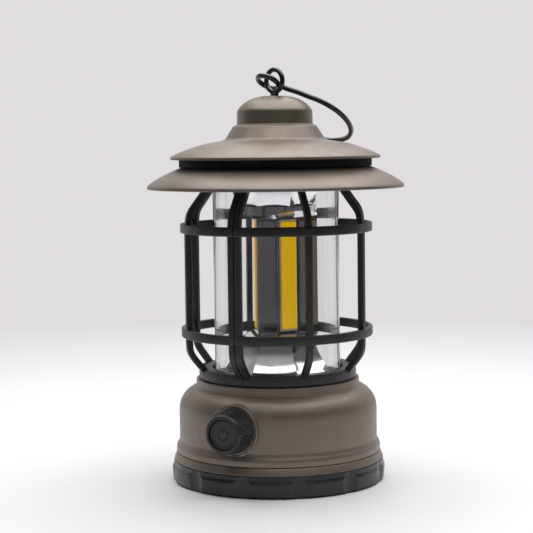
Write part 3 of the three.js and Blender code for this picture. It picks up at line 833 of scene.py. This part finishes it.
def tall_hood():
    """The upper hood: dish, cone, neck and dome in one moulding."""
    dish = flowing([
        (52.6, 164.7), (49.3, 166.4), (43.9, 168.4), (37.3, 170.5), (31.4, 171.65), (27, 172.35),
    ], 4)
    dome = flowing([
        (18.1, 188.7), (16.3, 190.5), (14.9, 191.55), (12.4, 192.95), (9.4, 194), (6, 194.6),
    ], 4)
    outline = blended([
        (51.5, 163.1, 0.2), (53.1, 163.1, 0.3), (53.1, 164.3, 0.4), *dish, (25.2, 173.2, 0.9),
        (21.2, 179.4, 0.5), (20.2, 180, 0.5), (19.2, 180.5, 0.5), (19, 187.4, 0.8), *dome,
        (2.2, 194.7), (2.2, 192.8), (6, 192.7), (11.6, 191.3), (15, 189), (17.2, 186.2),
        (17.5, 179.3), (20.4, 177.5), (23.5, 172.6), (26.8, 170.6),
        (36.8, 168.8), (43.3, 166.7), (48.5, 164.8),
    ])
    install(turned("hood_tall", outline, FINE), PAINT, "lantern", "taupe_paint", "upper_hood")


def eye():
    """The wire eye on its stem."""
    wire, radius, centre, foot_z = 1.25, 5.7, 202.15, 195.1
    leg = [(wire, foot_z - centre), (wire + 0.1, foot_z + 1.2 - centre)]
    path = flowing([*leg, *arc((0, 0), radius, -40, 220, 16), *[(-x, z) for x, z in reversed(leg)]], 5)
    loop = swept("wire_eye", [(x, 0, centre + z) for x, z in path], wire)
    stem = turned("stem", blended([(0, 186.4), (1.9, 186.4), (1.9, 196.1, 0.5), (0, 196.1)]), 32)
    combined(loop, [stem], "UNION")
    install(azimuth_turn(loop, -19.7), WIRE, "lantern", "black_wire", "hanger_eye")


def wire_hook():
    """The round bow, with its closed ring linked through the eye."""
    wire, ring, ring_at = 1.35, 5.62, (-3.48, 1.34)
    lean, slope, heading = 71.5, 33.9, -40.7
    bow = arc((24, 18), 21.7, -105, 110, 22)
    path = flowing([(ring_at[0] + ring, 0), (6.2, -0.6), (12.2, -2.2), *bow], 5)
    arm = swept("wire_hook", [(x, y, 0) for x, y in path], wire)
    link = swept("link", [(x, y, 0) for x, y in arc(ring_at, ring, 0, 355, 71)], wire, closed=True)
    combined(arm, [link], "UNION")
    place = Matrix.Translation(Vector((0.16, 0.46, 200.73)) * MM)
    for degrees, axis in ((lean, "Z"), (slope, "Y"), (heading, "Z")):
        place = place @ Matrix.Rotation(math.radians(degrees), 4, axis)
    arm.data.transform(place)
    install(arm, WIRE, "hook", "black_wire", "hook")


# ---------------------------------------------------------------- studio


CAMERA_AZIMUTH = 25.5
PALE = (0.745, 0.72, 0.74)          # the backdrop's tone
STUDIO_TINT = (1, 0.985, 0.985)


def camera():
    """The camera at the photograph's viewing angle, a little off its aim and level like the original."""
    lens, distance, height = 106.81, 0.8022, 0.1739
    swing, tip, roll = 0.362, 85.33, -0.692
    data = bpy.data.cameras.new("camera")
    data.lens, data.sensor_width = lens, 36
    data.clip_start, data.clip_end = 0.01, 30
    obj = bpy.data.objects.new("camera", data)
    bpy.context.scene.collection.objects.link(obj)
    azimuth = math.radians(CAMERA_AZIMUTH)
    place = Matrix.Translation((distance * math.sin(azimuth), -distance * math.cos(azimuth), height))
    for degrees, axis in ((CAMERA_AZIMUTH + swing, "Z"), (tip, "X"), (roll, "Z")):
        place = place @ Matrix.Rotation(math.radians(degrees), 4, axis)
    obj.matrix_world = place
    bpy.context.scene.camera = obj


def area_light(name, place, target, size, power):
    """A square soft light that faces a target."""
    data = bpy.data.lights.new(name, "AREA")
    data.shape, data.size, data.energy = "SQUARE", size, power
    obj = bpy.data.objects.new(name, data)
    obj.location = place
    obj.rotation_euler = (Vector(target) - Vector(place)).to_track_quat("-Z", "Y").to_euler()
    bpy.context.scene.collection.objects.link(obj)


def away_from_camera(tree, vector):
    """How far a vector reaches away from the camera's side of the object."""
    azimuth = math.radians(CAMERA_AZIMUTH)
    node = tree.nodes.new("ShaderNodeVectorMath")
    node.operation = "DOT_PRODUCT"
    node.inputs[1].default_value = (-math.sin(azimuth), math.cos(azimuth), 0)
    tree.links.new(vector, node.inputs[0])
    return node.outputs["Value"]


def bounces(tree, path):
    """How often a ray was reflected. Passing through clear plastic doesn't count."""
    return arithmetic(tree, "SUBTRACT", path["Ray Depth"], path["Transmission Depth"])


def background(tree, colour):
    """A background of one colour."""
    node = tree.nodes.new("ShaderNodeBackground")
    node.inputs["Color"].default_value = (*colour, 1)
    return node


def studio_world():
    """Pale to the eye; for lighting, bright overhead and behind the object, dark on the camera's side."""
    world = bpy.data.worlds.new("studio")
    world.use_nodes = True
    tree = world.node_tree
    tree.nodes.clear()
    direction = tree.nodes.new("ShaderNodeTexCoord").outputs["Generated"]
    split = tree.nodes.new("ShaderNodeSeparateXYZ")
    tree.links.new(direction, split.inputs[0])
    away = away_from_camera(tree, direction)
    backdrop = ranged(tree, away, (0.15, 0.55), (0.07, 0.7), "SMOOTHSTEP")
    ceiling = ranged(tree, split.outputs["Z"], (0.6, 0.95), (0, 0.5), "SMOOTHSTEP")
    studio = background(tree, STUDIO_TINT)
    tree.links.new(arithmetic(tree, "MAXIMUM", backdrop, ceiling), studio.inputs["Strength"])
    # A ray that reaches the world counts one bounce more than it has made.
    path = tree.nodes.new("ShaderNodeLightPath").outputs
    unbent = arithmetic(tree, "LESS_THAN", bounces(tree, path), 1.5)
    through = arithmetic(tree, "MULTIPLY", path["Is Transmission Ray"], unbent)
    straight = arithmetic(tree, "MAXIMUM", path["Is Camera Ray"], through)
    output = tree.nodes.new("ShaderNodeOutputWorld")
    mixed(tree, straight, studio.outputs[0], background(tree, PALE).outputs[0], output)
    bpy.context.scene.world = world


def floor_disc():
    """A wide flat disc, as rings of faces round a centre."""
    radii, sides = [0.25, 0.5, 1, 2, 4, 9], 64
    points, faces = [(0, 0, 0)], []
    for radius in radii:
        for k in range(sides):
            angle = 2 * math.pi * k / sides
            points.append((radius / MM * math.cos(angle), radius / MM * math.sin(angle), 0))
    for k in range(sides):
        n = (k + 1) % sides
        faces.append((0, 1 + k, 1 + n))
        for i in range(len(radii) - 1):
            low, high = 1 + i * sides, 1 + (i + 1) * sides
            faces.append((low + k, high + k, high + n, low + n))
    return mesh_object("floor", points, faces)


def floor_finish():
    """Pale card near the object. Further off it glows in the backdrop's tone, to the eye and behind."""
    pale = Finish("floor", Specular_IOR_Level=0.2)
    pale.colour(pale.mix(pale.spread(pale.noise(9, 3), 0, 1), (0.87, 0.855, 0.87), (0.89, 0.875, 0.89)))
    pale.roughness(pale.spread(pale.noise(30, 3), 0.55, 0.7))
    pale.bump(pale.noise(600, 2), 0.02)
    length = pale.nodes.new("ShaderNodeVectorMath")
    length.operation = "LENGTH"
    pale.links.new(pale.place, length.inputs[0])
    fade = pale.spread(length.outputs["Value"], 0, 1, 0.22, 0.7)
    behind = pale.spread(away_from_camera(pale.tree, pale.place), 0.1, 0.9, 0.05, 0.55)
    path = pale.nodes.new("ShaderNodeLightPath").outputs
    straight = pale.spread(bounces(pale.tree, path), 1, 0, 0, 1)
    glow = pale.nodes.new("ShaderNodeEmission")
    glow.inputs["Color"].default_value = (*PALE, 1)
    pale.links.new(arithmetic(pale.tree, "MAXIMUM", straight, behind), glow.inputs["Strength"])
    output = pale.nodes["Material Output"]
    mixed(pale.tree, fade, pale.shader.outputs[0], glow.outputs[0], output)
    return pale.material


def floor():
    """A pale floor that fades into the backdrop's tone far from the object."""
    ground = floor_disc()
    ground.data.materials.append(floor_finish())


# ---------------------------------------------------------------- assembly

camera()
finish_kept_nodes()
foot()
flange()
housing()
knob()
knob_face()
cage_half("cage_half_left", -1, "cage_left")
cage_half("cage_half_right", 1, "cage_right")
globe()
lower_flare()
upper_flare()
column()
strips()
crown()
wide_hood()
spacer()
tall_hood()
eye()
wire_hook()

floor()
studio_world()
area_light("softbox", (0.03, 0.22, 1.1), (0, 0.08, 0.1), 1.6, 19)
bpy.context.scene.view_settings.view_transform = "Standard"
